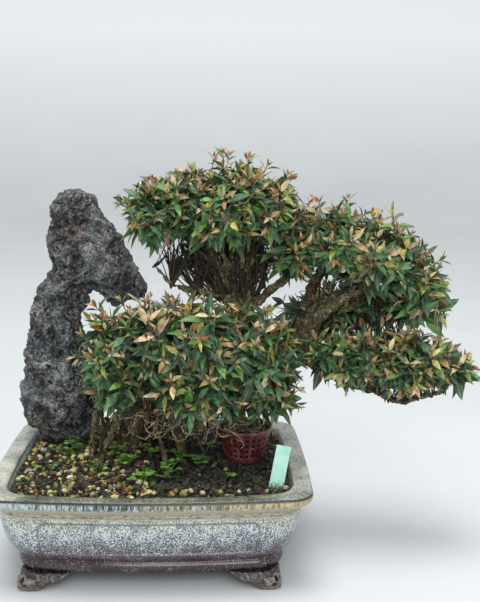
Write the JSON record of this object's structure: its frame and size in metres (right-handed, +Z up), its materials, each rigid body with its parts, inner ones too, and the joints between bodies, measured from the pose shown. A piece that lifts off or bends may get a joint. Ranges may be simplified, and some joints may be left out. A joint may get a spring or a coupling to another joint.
{
  "type": "asiatic jasmine bonsai",
  "caption": "Asiatic jasmine bonsai with bared roots and leafy crowns beside a standing lava stone, in a glazed rectangular footed pot.",
  "frame": {"origin": "bottom centre of the whole object's box, on the surface that the pot stands on", "axes": "+X to the right along the pot's long side, +Y to the back, +Z up"},
  "size_m": [0.4542, 0.232, 0.3859],
  "materials": {
    "glaze": "gloss",
    "drain_mesh": "matte",
    "soil": "matte",
    "lava": "matte",
    "bark": "matte",
    "basket_plastic": "matte",
    "feed": "matte",
    "label_plastic": "satin",
    "seedling": "matte",
    "leaf": "satin"
  },
  "bodies": {
    "root": {"pot": "glaze", "drain_screen_left": "drain_mesh", "drain_screen_right": "drain_mesh", "soil": "soil", "stone": "lava", "tree": "bark", "basket": "basket_plastic", "basket_fill": "feed", "label": "label_plastic", "seedling_by_stone": "seedling", "seedling_left": "seedling", "seedling_front": "seedling", "seedling_middle": "seedling", "seedling_by_basket": "seedling", "foliage_top": "leaf", "foliage_right_upper": "leaf", "foliage_right_lower": "leaf", "foliage_front": "leaf"}
  },
  "joints": []
}
